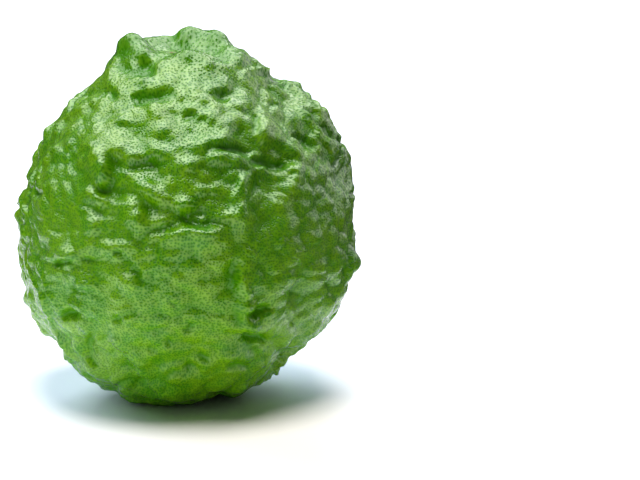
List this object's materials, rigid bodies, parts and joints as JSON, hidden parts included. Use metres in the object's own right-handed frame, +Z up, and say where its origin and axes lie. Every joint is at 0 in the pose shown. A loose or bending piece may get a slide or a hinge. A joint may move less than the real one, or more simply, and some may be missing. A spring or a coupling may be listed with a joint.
{
  "type": "makrut lime",
  "caption": "Whole knobbly green citrus fruit with a short lumpy neck at the stem end, standing upright on a small flat spot.",
  "frame": {"origin": "on the surface that the fruit stands on, under the middle of its bounding box", "axes": "+Z up through the neck at the stem end, -Y towards the viewer of the picture, +X to the viewer's right"},
  "size_m": [0.0596, 0.059, 0.0621],
  "materials": {
    "peel": "waxy citrus peel, finely pitted with oil glands"
  },
  "bodies": {
    "root": {"makrut_lime": "peel"}
  },
  "joints": []
}
